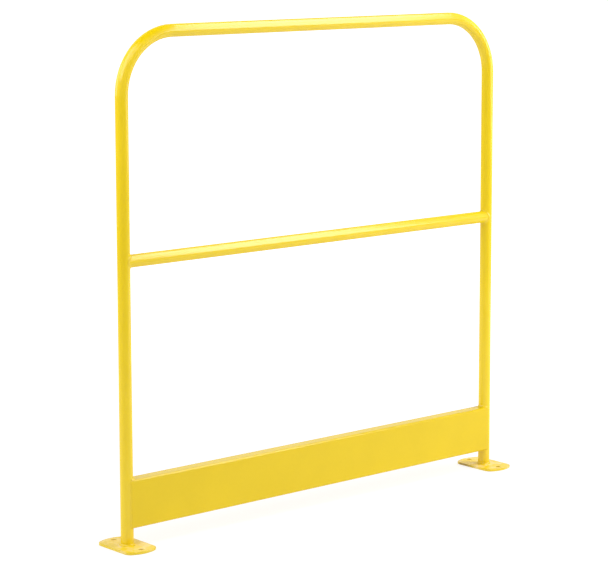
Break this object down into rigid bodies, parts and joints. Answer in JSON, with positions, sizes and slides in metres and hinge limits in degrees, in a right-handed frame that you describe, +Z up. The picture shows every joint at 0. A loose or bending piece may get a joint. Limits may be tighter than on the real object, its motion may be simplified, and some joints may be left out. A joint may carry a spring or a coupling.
{
  "type": "industrial guard rail",
  "caption": "Bolt-down guard rail in yellow coated steel: a bent round tube hoop with a straight mid rail and a folded toe board, welded on base plates with bolt holes.",
  "frame": {"origin": "on the floor, under the base plates, midway between the two posts and on the posts' common plane", "axes": "+X along the rail to its right end seen from the toe board's flat face, +Y to the back, where the toe board's channel is open, +Z up"},
  "size_m": [1.1162, 0.127, 1.067],
  "materials": {
    "tube_paint": "semi-gloss safety yellow powder coat on round steel tube",
    "board_paint": "semi-gloss safety yellow powder coat on folded steel sheet",
    "plate_paint": "semi-gloss safety yellow powder coat on cut steel plate",
    "weld_paint": "semi-gloss safety yellow powder coat over rippled weld beads"
  },
  "bodies": {
    "root": {"hoop_tube": "tube_paint", "mid_rail": "tube_paint", "toe_board": "board_paint", "left_base_plate": "plate_paint", "right_base_plate": "plate_paint", "left_foot_weld": "weld_paint", "right_foot_weld": "weld_paint", "left_rail_weld": "weld_paint", "right_rail_weld": "weld_paint", "left_tab_weld": "weld_paint", "right_tab_weld": "weld_paint", "left_flange_weld": "weld_paint", "right_flange_weld": "weld_paint"}
  },
  "joints": []
}
